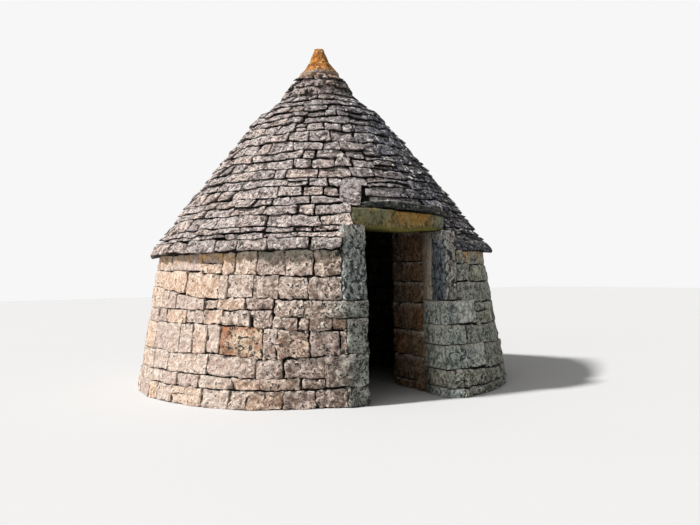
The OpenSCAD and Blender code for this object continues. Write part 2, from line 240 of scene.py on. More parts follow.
def carve(hexes, spec, seed, material, bows=((0, 0, 0),)):
    # hexes: corners [stone][along][inward][up] -> points, faces, the values kept on each point, material.
    # bows: how far a stone's face, underside and top swell in the middle of its length.
    dice = np.random.default_rng(seed)
    hexes = np.asarray(hexes, float)
    count = len(hexes)
    along = np.linalg.norm(hexes[:, 1] - hexes[:, 0], axis=-1)[:, 0, :].mean(1)
    inward = np.linalg.norm(hexes[:, :, 1] - hexes[:, :, 0], axis=-1).mean((1, 2))
    upward = np.linalg.norm(hexes[:, :, :, 1] - hexes[:, :, :, 0], axis=-1)[:, :, 0].mean(1)
    size = np.stack([along, inward, upward], 1)
    arris = np.minimum(spec["arris"] * dice.uniform(0.7, 1.4, count), 0.3 * size.min(1))
    nx, ny, nz = spec["cells"]
    spots, faces = blockGrid(nx + 4, 3, nz + 4)
    acrossLines = edgeLines(arris / along, nx)
    upLines = edgeLines(arris / upward, nz)
    share = (arris / inward)[:, None]
    inLines = np.hstack([0 * share, share, np.minimum(frontDepth / inward, 0.5)[:, None], 0 * share + 1])
    shares = np.stack([acrossLines[:, spots[:, 0]], inLines[:, spots[:, 1]], upLines[:, spots[:, 2]]], -1)
    flat = shares * size[:, None, :]

    # worn edges, and a surface with coarse bumps, fine ones and dents
    shift = dice.uniform(0, tableSide, (count, 1, 3))
    worn = 1 + spec["wear"] * noiseAt(flat, wearSize, shift)
    radius = np.clip(arris[:, None] * np.clip(worn, 0.3, 2.2), 0, 0.45 * size.min(1)[:, None])[..., None]
    top = size[:, None, :] - radius
    top[..., 1] = size[:, None, 1]
    inner = np.clip(flat, radius, np.maximum(top, radius))
    away = flat - inner
    away /= np.maximum(np.linalg.norm(away, axis=-1, keepdims=True), 1e-9)
    points = inner + away * radius
    fade = np.clip(1.15 - flat[..., 1] / (0.5 * size[:, None, 1]), 0, 1)
    (coarse, coarseSize), (fine, fineSize), (dent, dentSize) = spec["coarse"], spec["fine"], spec["dent"]
    rough = coarse * noiseAt(flat, coarseSize, shift + 5)
    rough += fine * noiseAt(flat, fineSize, shift + 11)
    rough -= dent * np.clip(noiseAt(flat, dentSize, shift + 17) - 0.2, 0, 1)
    points += away * (rough * fade)[..., None]
    shares = points / size[:, None, :]

    # round the outline's corners and swell the face
    across, up = 2 * shares[..., 0] - 1, 2 * shares[..., 2] - 1
    knock = (spec["round"] * dice.uniform(0.3, 1.7, count))[:, None]
    swell = (spec["swell"] * dice.uniform(-0.4, 1, count) / inward)[:, None]
    shares[..., 0] = 0.5 + 0.5 * across * np.sqrt(np.clip(1 - knock * up ** 2 / 2, 0, 1))
    shares[..., 2] = 0.5 + 0.5 * up * np.sqrt(np.clip(1 - knock * across ** 2 / 2, 0, 1))
    shares[..., 1] -= swell * np.clip(1 - across ** 2, 0, 1) * np.clip(1 - up ** 2, 0, 1) * fade
    face, low, high = (np.array(bows) / np.stack([inward, upward, upward], 1)).T[..., None]
    middle = 1 - across ** 2
    shares[..., 1] -= face * middle
    shares[..., 2] += middle * (high * shares[..., 2] - low * (1 - shares[..., 2]))
    placed = 0
    for (u, v, w), weight in cornerWeights(shares):
        placed = placed + weight[..., None] * hexes[:, u, v, w][:, None, :]
    # one slow warp for all stones together, so that joints wander but stay tight
    placed += spec["warp"] * np.stack([noiseAt(placed, warpSize, drift) for drift in (3.1, 13.7, 23.3)], -1)
    placed[..., 2] = np.maximum(placed[..., 2], 0)

    axes = np.stack([hexes[:, 1, 0, 0], hexes[:, 0, 1, 0], hexes[:, 0, 0, 1]], 1) - hexes[:, 0, 0, 0][:, None]
    flips = np.linalg.det(axes) < 0
    perStone = len(spots)
    allFaces = []
    for number, flip in enumerate(flips):
        allFaces += [[number * perStone + n for n in (face[::-1] if flip else face)] for face in faces]
    tone = np.repeat(dice.uniform(0, 1, count), perStone)
    # deep: how far a point lies behind its stone's face; it carries the painted shade in the joints
    deep = np.clip((flat[..., 1] - spec["deepFrom"]) / 0.04, 0, 1)
    # the top band of the face, which gets a painted highlight
    topHighlight = np.clip((up - 0.55) / 0.4, 0, 1) * (1 - deep)
    values = {"tone": tone, "deep": deep.ravel(), "topHighlight": topHighlight.ravel()}
    return placed.reshape(-1, 3), allFaces, values, material


triangleCount = {}


def addObject(name, data):
    thing = bpy.data.objects.new(name, data)
    bpy.context.scene.collection.objects.link(thing)
    return thing


def makePiece(node, ending, parts):
    # parts: (points, faces, values, material). One mesh stands for the CAD node that it replaces.
    name = node + ending
    faces, materialIndex, materials = [], [], []
    fields = {"tone": [], "deep": [], "topHighlight": []}
    base = 0
    mesh = bpy.data.meshes.new(name)
    for points, partFaces, values, material in parts:
        if material not in materials:
            materials.append(material)
            mesh.materials.append(material)
        faces += [[base + n for n in face] for face in partFaces]
        materialIndex += [materials.index(material)] * len(partFaces)
        for key, rows in fields.items():
            rows.append(values.get(key, np.zeros(len(points))))
        base += len(points)
    mesh.from_pydata(np.vstack([part[0] for part in parts]).tolist(), [], faces)
    for key, rows in fields.items():
        field = mesh.attributes.new(key, "FLOAT", "POINT")
        field.data.foreach_set("value", np.concatenate(rows).astype(np.float32))
    mesh.polygons.foreach_set("material_index", materialIndex)
    mesh.polygons.foreach_set("use_smooth", [True] * len(faces))
    mesh.update()
    piece = addObject(name, mesh)
    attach(piece, "root")
    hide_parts(node)
    triangleCount[name] = sum(len(face) - 2 for face in faces)


# Courses. A joint is (angle at the foot, angle at the head), or ("x", value) beside the doorway.

jointApart = 0.05    # how far a joint stays from those in the course below
bedRadius, bedSize = 2.2, 0.42    # where the beds' slow wander is read, and how wide it is


def jointTurn(joint, side, radius):
    if joint[0] == "x":
        turn = math.degrees(math.asin(max(-1, min(1, -joint[1] / radius))))
        return turn if joint[1] < 0 else 360 + turn
    return joint[side]


def edgeTurn(joint, face, z):
    turn = jointTurn(joint, 0, face(180, z))
    for step in range(4 if joint[0] == "x" else 0):
        turn = jointTurn(joint, 0, face(turn, z))
    return turn


def plumbJoints(turns):
    return [(turn, turn) for turn in turns]


def splitArc(before, after, radius, lengths, lean, dice, below=()):
    # known joints, and between them joints for stones of random length that break the joints below.
    start, end = (jointTurn(joint, 0, radius) for joint in (before[-1], after[0]))
    room = math.radians(end - start) * radius
    sizes = []
    while sum(sizes) < room:
        sizes.append(dice.triangular(*lengths))
    if len(sizes) > 1 and sum(sizes) - room > 0.5 * sizes[-1]:
        sizes.pop()
    turns = start + np.degrees(np.cumsum(sizes) * room / sum(sizes) / radius)[:-1]
    apart = math.degrees(jointApart / radius)
    loose = []
    for turn in turns:
        near = [other for other in below if abs(other - turn) < apart]
        if near:
            turn = near[0] + math.copysign(apart, turn - near[0])
        leaning = math.degrees(lean * dice.normal() / radius)
        loose.append((turn - leaning, turn + leaning))
    return before + loose + after


def ringHex(cell, lowBed, highBed, face, spec, dice):
    # cell: (first joint, last joint, low share, high share) of a course -> eight corners
    first, last, lowShare, highShare = cell
    gap = spec["gap"] * dice.uniform(0.5, 1.6)
    bedGap = spec["gap"] * dice.uniform(0.5, 1.6)
    push = spec["push"] * max(-1.0, dice.normal())
    swing = spec["swing"] * dice.uniform(-1, 1)
    inset = dice.uniform(*spec["inset"])
    depth = spec["depth"] * dice.uniform(0.85, 1.15)
    outward = -1 if spec.get("inside") else 1
    nips = spec["nip"] * dice.uniform(0, 1, (2, 2, 2)) ** 3
    ends = [edgeTurn(joint, face, lowBed(180)) for joint in (first, last)]
    hexa = np.zeros((2, 2, 2, 3))
    for u, joint in enumerate((first, last)):
        # beds are read a little way in from the stone's ends
        bedTurn = ends[u] + 0.12 * (ends[1] - ends[0]) * (1 - 2 * u)
        for w, share in enumerate((lowShare, highShare)):
            z = lowBed(bedTurn) * (1 - share) + highBed(bedTurn) * share
            radius = face(ends[u], z + spec.get("bite", 0) * (1 - 2 * w))
            z += (bedGap / 2 + 0.7 * nips[u, w, 0]) * (1 - 2 * w)
            slip = gap / 2 + nips[u, w, 1] * (0.3 if joint[0] == "x" else 1)
            stand = push + swing * (2 * u - 1) - inset * w
            front = radius + outward * stand
            for v, reach in enumerate((front, front - outward * depth)):
                if joint[0] == "x":
                    spin = jointTurn(("x", joint[1] + math.copysign(slip, joint[1])), w, reach)
                else:
                    spin = joint[w] + math.degrees(slip / radius) * (1 - 2 * u)
                hexa[u, v, w] = (*spotAt(spin, reach), z)
    return hexa


def readJoints(spec, row):
    # the joints read off the photo, left and right of the doorway, with the course's ends
    left = [("x", spec["starts"][row])] + plumbJoints(spec["joints"][row])
    return left, plumbJoints(spec["rightJoints"][row]) + [("x", spec["stops"][row])]


def courseCells(joints, spec, height, dice):
    # neighbouring joints make cells; now and then two thin stones take one cell of a tall course.
    thin = spec["thin"] if height > spec.get("thinFrom", 0) else 0
    cells = []
    for first, last in zip(joints, joints[1:]):
        if thin and dice.random() < thin:
            middle = dice.uniform(0.4, 0.6)
            cells += [(first, last, 0, middle), (first, last, middle, 1)]
        else:
            cells.append((first, last, 0, 1))
    return cells


def bedCurve(points, wander, seed):
    # height of a bed by angle: straight between its points, with a slow wander.
    turns, heights = zip(*points)

    def height(turn):
        spot = np.array([*(-part for part in spotAt(turn, bedRadius)), seed * 3.7])
        return float(np.interp(turn % 360, turns, heights)) + wander * float(noiseAt(spot, bedSize))
    return height


def layRows(spec, levels, face, dice, ends=None, seed=0):
    # rows of stones between level beds, from one end to the other or all the way round
    last = len(levels) - 1
    beds = [bedCurve([(0, z), (360, z)], spec["wander"] if 0 < n < last else 0, seed + n)
            for n, z in enumerate(levels)]
    hexes, below = [], []
    for row in range(last):
        first = 0 if ends else dice.uniform(0, spec["startTo"])
        start, stop = ends or plumbJoints([first, first + 360])
        joints = splitArc([start], [stop], face(0, levels[row]), spec["lengths"], spec["lean"], dice, below)
        below = [joint[0] for joint in joints[1:-1]] if ends else []
        for cell in courseCells(joints, spec, levels[row + 1] - levels[row], dice):
            hexes.append(ringHex(cell, beds[row], beds[row + 1], face, spec["course"], dice))
    return hexes


# Shader maths: Wire wraps a socket, Graph adds the nodes

def operator(operation, flipped=False):
    return lambda self, other: self.maths(operation, *((other, self) if flipped else (self, other)))


class Wire:
    __add__, __radd__ = operator("ADD"), operator("ADD", True)
    __sub__, __rsub__ = operator("SUBTRACT"), operator("SUBTRACT", True)
    __mul__, __rmul__ = operator("MULTIPLY"), operator("MULTIPLY", True)

    def __init__(self, graph, socket):
        self.graph = graph
        self.socket = socket

    def maths(self, operation, first, second, clamp=False):
        return self.graph.add("ShaderNodeMath", {0: first, 1: second}, operation=operation, use_clamp=clamp)

    def clamped(self):
        return self.maths("ADD", self, 0.0, clamp=True)

    def step(self, low, high):
        return self.graph.add("ShaderNodeMapRange", {"Value": self, "From Min": low, "From Max": high},
                              interpolation_type="SMOOTHSTEP")


class Graph:
    def __init__(self, owner):
        # owner: a material or a world
        self.owner = owner
        owner.use_nodes = True
        self.tree = owner.node_tree
        self.tree.nodes.clear()

    def add(self, kind, inputs, output=0, **settings):
        node = self.tree.nodes.new(kind)
        for key, value in settings.items():
            setattr(node, key, value)
        for key, value in inputs.items():
            socket = node.inputs[key]
            if isinstance(value, Wire):
                self.tree.links.new(value.socket, socket)
            elif socket.type == "RGBA" and len(value) == 3:
                socket.default_value = (*value, 1)
            else:
                socket.default_value = value
        return Wire(self, node.outputs[output]) if node.outputs else None

    def mix(self, factor, first, second, kind="MIX"):
        return self.add("ShaderNodeMix", {0: factor, 6: first, 7: second}, 2, data_type="RGBA",
                        blend_type=kind, clamp_factor=True)

    def shade(self, colour, amount):
        grey = self.add("ShaderNodeCombineColor", {0: amount, 1: amount, 2: amount})
        return self.mix(1.0, colour, grey, "MULTIPLY")

    def noise(self, where, size, detail=4.0, roughness=0.55, warp=0.0):
        return self.add("ShaderNodeTexNoise", {"Vector": where, "Scale": 1 / size, "Detail": detail,
                                               "Roughness": roughness, "Distortion": warp})

    def value(self, name):
        return self.add("ShaderNodeAttribute", {}, 2, attribute_name=name)

    def finish(self, colour, roughness, height, distance):
        normal = self.add("ShaderNodeBump", {"Strength": 1.0, "Distance": distance, "Height": height})
        shader = self.add("ShaderNodeBsdfPrincipled", {"Base Color": colour, "Roughness": roughness,
                                                       "Normal": normal, "Specular IOR Level": 0.25})
        self.add("ShaderNodeOutputMaterial", {"Surface": shader})
        return self.owner


def stoneMaterial(name, look):
    g = Graph(bpy.data.materials.new(name))
    place = g.add("ShaderNodeTexCoord", {}, 3)
    tone, deep, topHighlight = g.value("tone"), g.value("deep"), g.value("topHighlight")
    jump = g.add("ShaderNodeCombineXYZ", {0: tone * 31.0, 1: tone * 17.0, 2: tone * 23.0})
    where = g.add("ShaderNodeVectorMath", {0: place, 1: look["stretch"], 2: jump}, operation="MULTIPLY_ADD")
    eastward = g.add("ShaderNodeSeparateXYZ", {0: place})
    northward, upward = (Wire(g, eastward.socket.node.outputs[n]) for n in (1, 2))

    mottle = g.noise(where, look["sizes"][0], 6.0, 0.68, 0.15)
    crag = g.noise(where, look["sizes"][1], 5.0, 0.66, 0.3)
    grain = g.noise(where, look["grainSize"], 3.0, 0.7)
    broad = g.noise(place, 0.9, 3.0, 0.5)
    # mottle and crag raise the bumps and set the colour, so the stone is darker where its surface sinks:
    # partly its own mottling, partly painted shade in the hollows
    blend = ((mottle - 0.5) * look["gain"][0] + (crag - 0.5) * look["gain"][1] + 0.5).clamped()
    colour = g.mix(blend, look["dark"], look["light"])

    # browner stone round the doorway, and the weathered side to its right, darkened further as painted shade
    front, weatherAndShade = 0.0, 0.0
    if look["front"]:
        dark, light, reach, wander, share = look["front"]
        front = ((broad - 0.5) * wander - northward).step(*reach)
        colour = g.mix(front * share, colour, g.mix(blend, dark, light))
    if look["weatherAndShade"]:
        dark, light, reach, wander, share = look["weatherAndShade"]
        ragged = ((broad - 0.5) + (mottle - 0.5) * 0.8) * wander
        behind = northward.maths("MAXIMUM", northward, 0.0)
        weatherAndShade = (eastward + ragged - behind * 0.5).step(*reach)
        colour = g.mix(weatherAndShade * share, colour, g.mix(blend, dark, light))
    colour = g.shade(colour, 1 + (tone - 0.5) * look["spread"] + (grain - 0.5) * look["grainShade"])
    if look["tint"]:
        warm, share = look["tint"]
        colour = g.mix(tone.step(0.5, 0.95) * share, colour, warm, "MULTIPLY")
        colour = g.mix((1 - tone).step(0.6, 0.95) * share, colour, look["cool"], "MULTIPLY")

    # stains that run down from a height, on the wall with a painted shadow of the eave near the doorway, and
    # moss that climbs to one
    runs = g.noise(g.add("ShaderNodeVectorMath", {0: place, 1: look["runs"]}, operation="MULTIPLY"), 1.0, 4.0)
    if look["stainAndShadow"]:
        left, right, reach, turn, ragged, share = look["stainAndShadow"]
        stainAndShadow = (upward + (runs - 0.5) * ragged).step(*reach) * runs.step(0.38, 0.56)
        pick = (eastward + (broad - 0.5) * 1.2).step(*turn) * (1 - weatherAndShade)
        # on the wall the colour picked near the doorway is a painted shadow of the eave
        colour = g.mix(stainAndShadow * share, colour, g.mix(pick, left, right))
    if look["moss"]:
        green, reach, share = look["moss"]
        moss = 1 - (upward + (runs - 0.5) * 0.1).step(*reach)
        colour = g.mix(moss * share, colour, green)

    # pale lichen, and a painted highlight along the top of each stone's face
    if look["lichen"]:
        pale, size, reach, gain, share = look["lichen"]
        lichen = (g.noise(where, size, 5.0, 0.65, 0.6) + weatherAndShade * gain).step(*reach)
        colour = g.mix(lichen * share, colour, pale)
    if look["topHighlight"]:
        pale, share = look["topHighlight"]
        colour = g.mix(topHighlight * grain.step(0.35, 0.6) * share, colour, pale)

    # ragged pits darkened as painted shade in their hollows, denser in some stones than in others, and dark
    # specks
    worm = g.noise(where, look["pitSize"], 4.0, 0.66, 0.5)
    pit = (worm + (tone - 0.5) * 0.05 + (mottle - 0.5) * 0.22 + front * 0.07).step(*look["pitFrom"])
    speck = g.noise(where, look["speckSize"], 2.0, 0.6).step(0.54, 0.66)
    colour = g.shade(colour, (1 - pit * look["pitPaintedShade"]) * (1 - speck * look["speckShade"]))
    # painted shade in the joints: a stone's sides darken the further they lie behind its face
    colour = g.shade(colour, 1 - deep * look["jointPaintedShade"])
    height = mottle * look["mottleHigh"] + crag * look["cragHigh"] + grain * 0.2 - pit * look["pitDepth"]
    return g.finish(colour, 0.8 + (grain - 0.5) * 0.3, height, look["bump"])


# Looks. sizes and gain: of the mottle, then of the crag. front, weatherAndShade: dark, light, from and to,
# wander,
# share. stainAndShadow: left, right, from and to, the turn between them, raggedness, share. moss: colour,
# from and
# to, share. lichen: colour, size, from and to, gain on the weathered, shaded side, share. tint, topHighlight:
# colour, share.

baseLook = {
    "light": (0.89, 0.745, 0.635), "dark": (0.57, 0.42, 0.33), "tint": ((1.0, 0.9, 0.8), 0.9),
    "cool": (0.92, 0.88, 0.89), "sizes": (0.09, 0.045), "gain": (4.4, 3.6), "spread": 0.22,
    "grainSize": 0.026, "grainShade": 1.6, "stretch": (1.0, 1.0, 1.0),
    "front": ((0.185, 0.12, 0.09), (1.0, 0.82, 0.7), (1.2, 2.0), 0.8, 0.85),
    "weatherAndShade": ((0.11, 0.125, 0.105), (0.72, 0.775, 0.66), (0.2, 0.7), 1.0, 0.95),
    # the second stain colour, grey-green near the doorway, is a painted shadow of the eave
    "stainAndShadow": ((0.8, 0.48, 0.2), (0.27, 0.26, 0.18), (1.4, 1.56), (-1.7, -1.2), 0.3, 0.85),
    "runs": (7.0, 7.0, 2.0), "moss": None, "lichen": ((0.66, 0.66, 0.6), 0.06, (0.6, 0.68), 0.05, 0.4),
    "topHighlight": ((0.86, 0.77, 0.67), 0.6), "pitSize": 0.045, "pitFrom": (0.58, 0.65), "pitPaintedShade": 0.9,
    "pitDepth": 0.45, "speckSize": 0.026, "speckShade": 0.3, "jointPaintedShade": 0.8, "bump": 0.085,
    "mottleHigh": 1.0, "cragHigh": 0.7,
}
plainLook = {**baseLook, "front": None, "weatherAndShade": None, "stainAndShadow": None, "lichen": None, "tint": None}

wallMaterial = stoneMaterial("wall limestone", {**baseLook, "pitFrom": (0.615, 0.685)})
rustMaterial = stoneMaterial("rust limestone", {
    **plainLook, "light": (0.78, 0.62, 0.46), "dark": (0.38, 0.18, 0.1), "sizes": (0.14, 0.045),
    "gain": (4.4, 4.6), "topHighlight": ((0.62, 0.22, 0.1), 0.6), "pitFrom": (0.56, 0.61),
})
roofLook = {
    **baseLook, "light": (0.9, 0.765, 0.71), "dark": (0.115, 0.09, 0.082), "tint": ((1.0, 0.9, 0.82), 0.7),
    "spread": 0.4, "sizes": (0.07, 0.045), "gain": (4.6, 3.8), "front": None, "stainAndShadow": None,
    "weatherAndShade": ((0.005, 0.007, 0.014), (0.18, 0.195, 0.245), (-0.95, 0.6), 1.0, 0.95),
    "lichen": ((0.86, 0.81, 0.74), 0.06, (0.58, 0.6), 0.02, 0.95), "topHighlight": ((0.86, 0.78, 0.73), 0.75),
    "speckShade": 0.45, "jointPaintedShade": 0.93,
}
roofMaterial = stoneMaterial("roof slab limestone", roofLook)
eaveMaterial = stoneMaterial("eave slab limestone", {
    **roofLook, "light": (0.78, 0.655, 0.6), "dark": (0.09, 0.07, 0.062), "topHighlight": ((0.7, 0.62, 0.57), 0.75),
})
# near black: partly the slab's own dark, mossy colour, partly painted shade on its front
hoodMaterial = stoneMaterial("hood slab", {
    **plainLook, "light": (0.075, 0.085, 0.07), "dark": (0.008, 0.01, 0.008),
    "lichen": ((0.66, 0.66, 0.6), 0.03, (0.6, 0.68), 0.04, 0.7),
    "weatherAndShade": ((0.02, 0.02, 0.02), (0.16, 0.155, 0.14), (0.3, 0.55), 0.3, 1.0),
    "topHighlight": ((0.42, 0.4, 0.37), 0.9),
})
uprightMaterial = stoneMaterial("left upright stone", {
    **plainLook, "light": (0.34, 0.36, 0.34), "dark": (0.035, 0.045, 0.05), "sizes": (0.08, 0.04),
    "gain": (5.0, 4.0), "stretch": (1.0, 1.0, 0.75),
    "lichen": ((0.74, 0.76, 0.7), 0.032, (0.565, 0.6), 0.05, 0.9),
})
rightUprightMaterial = stoneMaterial("right upright stone", {
    **plainLook, "light": (0.9, 0.78, 0.61), "dark": (0.66, 0.54, 0.4), "sizes": (0.09, 0.04),
    "gain": (3.6, 3.0), "pitFrom": (0.62, 0.69), "stretch": (1.0, 1.0, 0.7),
    "front": ((0.05, 0.063, 0.076), (0.235, 0.265, 0.285), (1.82, 1.88), 0.15, 1.0),
    "weatherAndShade": ((0.1, 0.085, 0.075), (0.44, 0.42, 0.37), (0.49, 0.53), 0.15, 1.0),
    "lichen": ((0.66, 0.7, 0.68), 0.028, (0.6, 0.63), 0.05, 0.7),
})
quoinMaterial = stoneMaterial("jamb block stone", {
    **plainLook, "light": (0.88, 0.71, 0.59), "dark": (0.27, 0.19, 0.15), "pitFrom": (0.55, 0.6),
    "weatherAndShade": ((0.04, 0.044, 0.038), (0.56, 0.58, 0.51), (-0.96, -0.6), 0.3, 1.0),
    "lichen": ((0.66, 0.68, 0.58), 0.03, (0.6, 0.68), 0.05, 0.6),
})
rightQuoinMaterial = stoneMaterial("right jamb block stone", {
    **plainLook, "light": (0.85, 0.9, 0.82), "dark": (0.23, 0.25, 0.235), "tint": ((1.0, 0.8, 0.58), 0.5),
    "gain": (4.0, 3.4), "pitFrom": (0.62, 0.69),
    "front": ((0.11, 0.13, 0.125), (0.68, 0.76, 0.71), (2.03, 2.09), 0.05, 1.0),
    "lichen": ((0.66, 0.68, 0.6), 0.03, (0.6, 0.68), 0.05, 0.5),
})
# dark brown: partly the stone's own colour, partly painted shade in the passage
passageMaterial = stoneMaterial("passage limestone", {
    **plainLook, "light": (0.38, 0.26, 0.16), "dark": (0.1, 0.06, 0.035), "tint": ((1.0, 0.76, 0.56), 0.8),
})
# dark: partly the lintel's own colour, partly painted shade over the doorway
lintelMaterial = stoneMaterial("lintel limestone", {
    **plainLook, "light": (0.3, 0.245, 0.1), "dark": (0.062, 0.05, 0.02), "sizes": (0.12, 0.03),
    "gain": (4.0, 3.6), "stretch": (1.0, 1.0, 0.7), "runs": (16.0, 16.0, 6.0),
    "weatherAndShade": ((0.03, 0.032, 0.028), (0.2, 0.2, 0.16), (0.3, 0.46), 0.3, 0.9),
    "stainAndShadow": ((0.22, 0.23, 0.14), (0.46, 0.235, 0.05), (1.78, 1.9), (-0.45, -0.15), 0.3, 0.75),
    "moss": ((0.145, 0.13, 0.017), (1.775, 1.8), 0.85), "pitFrom": (0.62, 0.7), "pitPaintedShade": 0.6,
    "topHighlight": None, "lichen": ((0.4, 0.38, 0.28), 0.028, (0.6, 0.68), 0.05, 0.45),
})
domeMaterial = stoneMaterial("dark dome limestone", {
    **plainLook, "light": (0.17, 0.135, 0.1), "dark": (0.06, 0.048, 0.036), "topHighlight": None,
})
neckMaterial = stoneMaterial("neck mortar", {
    **baseLook, "light": (0.72, 0.6, 0.54), "dark": (0.012, 0.01, 0.01), "sizes": (0.07, 0.045),
    "gain": (6.0, 4.2), "front": None, "topHighlight": ((0.86, 0.77, 0.67), 0.8),
    "weatherAndShade": ((0.02, 0.02, 0.023), (0.2, 0.185, 0.18), (-0.2, 0.3), 1.0, 0.9),
    "stainAndShadow": ((0.62, 0.29, 0.09), (0.4, 0.2, 0.08), (neckTop - 0.08, neckTop), (-1.7, -1.2), 0.3, 0.9),
})
tipMaterial = stoneMaterial("pinnacle lichen", {
    **baseLook, "light": (0.8, 0.31, 0.045), "dark": (0.24, 0.07, 0.02), "sizes": (0.07, 0.045),
    "tint": None, "front": None, "stainAndShadow": None, "topHighlight": None, "runs": (26.0, 26.0, 14.0),
    "weatherAndShade": ((0.14, 0.07, 0.035), (0.36, 0.17, 0.07), (-0.05, 0.22), 1.0, 0.6),
    "lichen": ((0.9, 0.64, 0.28), 0.05, (0.565, 0.6), 0.0, 0.7),
    "moss": ((0.36, 0.3, 0.265), (neckTop + 0.01, neckTop + 0.06), 0.85),
})
# the rubble fill behind the stones, near-black as painted shade in the gaps
paintedShadeFillMaterial = stoneMaterial("fill painted as shade", {
    **plainLook, "light": (0.04, 0.034, 0.03), "dark": (0.016, 0.014, 0.012), "topHighlight": None,
})
print("materials made:", len(bpy.data.materials))


def loopFaces(near, far, count):
    # quads between two closed loops of corners
    return [[near + n, near + (n + 1) % count, far + (n + 1) % count, far + n] for n in range(count)]


def ringSector(ends, profile, steps):
    # a closed ring sector of fill behind the stones, near-black as painted shade in the gaps, between two
    # joints or all the way round.
    # profile: (radius, z) corners, anticlockwise. A radius may be a function of angle and height.
    whole = ends is None
    ends = ends or plumbJoints([0, 360])
    count = len(profile)

    def turnAt(share, radius):
        first, last = (jointTurn(joint, 0, radius) for joint in ends)
        return first + (last - first) * share

    points = []
    for step in range(steps if whole else steps + 1):
        for reach, z in profile:
            radius = reach(turnAt(step / steps, doorFront), z) if callable(reach) else reach
            points.append((*spotAt(turnAt(step / steps, radius), radius), z))
    rings = len(points) // count
    faces = []
    for step in range(steps):
        faces += loopFaces(step * count, (step + 1) % rings * count, count)
    if not whole:
        faces.append(list(range(count))[::-1])
        faces.append([steps * count + n for n in range(count)])
    return np.array(points), faces, {}, paintedShadeFillMaterial


# Wall: rows of blocks outside and inside, with fill between that is painted near-black as shade. A rough
# surface, coarse, fine or dented, is given as depth and width.

wallSpec = {
    "stone": {"cells": (10, 1, 6), "arris": 0.008, "wear": 1.2, "round": 0.05, "swell": 0.014, "warp": 0.01,
              "deepFrom": 0.02, "coarse": (0.015, 0.075), "fine": (0.01, 0.032), "dent": (0.034, 0.05)},
    "nearCells": (20, 1, 12),
    "endsDeepFrom": 0.008,    # for the two segments beside the doorway
    # away from the stretch left of the doorway the blocks are smoother and more flush
    "smooth": {"arris": 0.006, "coarse": (0.009, 0.075), "fine": (0.007, 0.032), "dent": (0.02, 0.05),
               "swell": 0.008},
    "flush": {"push": 0.003, "swing": 0.003, "inset": (-0.003, 0.004), "nip": 0.01},
    "roughTo": 64.0,
    "rightFrom": 300.0,
    "rightGap": 0.009,
    "course": {"gap": 0.003, "push": 0.006, "swing": 0.006, "inset": (-0.006, 0.008), "depth": 0.2,
               "nip": 0.016, "bite": 0.02},
    "lengths": (0.14, 0.3, 0.5),
    "lean": 0.008,
    "thin": 0.06,
    "thinFrom": 0.15,
    "recess": 0.05,
    "fillSteps": 16,
    "fillKnee": 0.03,    # the fill turns at the right jamb's step within this
    "wander": 0.008,
    "seed": 21,
    # beds from the ground up, as (angle, height): measured on the left of the doorway and on its right
    "beds": [
        [(0, 0.0), (360, 0.0)],
        [(18, 0.203), (30, 0.18), (60, 0.185), (180, 0.16), (328, 0.09), (340, 0.1)],
        [(18, 0.3), (40, 0.297), (60, 0.316), (180, 0.29), (328, 0.24), (340, 0.29)],
        [(18, 0.521), (28, 0.5), (41, 0.476), (53, 0.534), (68, 0.516), (180, 0.5), (328, 0.51),
         (340, 0.545)],
        [(18, 0.738), (30, 0.763), (44, 0.8), (60, 0.828), (180, 0.77), (328, 0.725), (340, 0.755)],
        [(18, 0.875), (31, 0.9), (38, 0.9), (39, 0.96), (60, 0.965), (180, 0.96), (328, 0.975), (340, 1.01)],
        [(18, 1.055), (36, 1.078), (47, 1.09), (60, 1.07), (77, 1.15), (88, 1.2), (180, 1.16), (328, 1.21),
         (340, 1.22)],
        [(18, 1.28), (51, 1.33), (84, 1.39), (180, 1.37), (328, 1.4), (340, 1.41)],
        [(0, 1.56), (360, 1.56)],
    ],
    # joints read left of the doorway, by row from the ground up
    "joints": [
        [], [], [24, 35, 42.2, 57, 73.3], [20.4, 28.3, 36.6, 40.6, 53.1, 57.9, 63.2, 68.9],
        [22.1, 28.1, 31.1, 38.3, 44.5, 52.9, 60.6], [38.3, 46.1, 55.1, 60.6, 73.6],
        [28.5, 36.7, 44.1, 52.5, 55.5, 69.4, 88.0], [27.1, 35.0, 43.5, 50.8, 54.9, 63.4, 80.4, 92.2],
    ],
    # the same, right of the doorway
    "rightJoints": [[], [327], [316], [323.6], [322], [317, 328.4], [318, 331], [319]],
    # where each row starts and stops beside the doorway's own stones
    "starts": [lowerLeft, -0.884, -0.884, lowerLeft, lowerLeft, -1.07, jambLeft - 0.01, jambLeft - 0.01],
    "stops": [0.62, 0.62, 1.079, 0.769, 0.985, 0.67, 0.66, 0.652],
    "rustBlock": (0.62, 43.0, 50.0),    # height and stretch of the reddish block
}


def layWall():
    spec = wallSpec
    dice = np.random.default_rng(spec["seed"])
    rows = len(spec["joints"])
    beds = [bedCurve(points, spec["wander"] if 0 < n < rows else 0, n)
            for n, points in enumerate(spec["beds"])]
    hexes, below = [], []
    for row in range(rows):
        lowBed, highBed = beds[row:row + 2]
        radius = wallRadius((lowBed(180) + highBed(180)) / 2)
        joints = splitArc(*readJoints(spec, row), radius, spec["lengths"], spec["lean"], dice, below)
        below = [joint[0] for joint in joints[1:-1]]
        for cell in courseCells(joints, spec, highBed(180) - lowBed(180), dice):
            turn = 0.0 if cell[0][0] == "x" else cell[0][0]
            course = dict(spec["course"])
            if turn > spec["roughTo"]:
                course.update(spec["flush"])
            if turn > spec["rightFrom"]:
                course["gap"] = spec["rightGap"]
            hexes.append(ringHex(cell, lowBed, highBed, wallFace, course, dice))
    return hexes


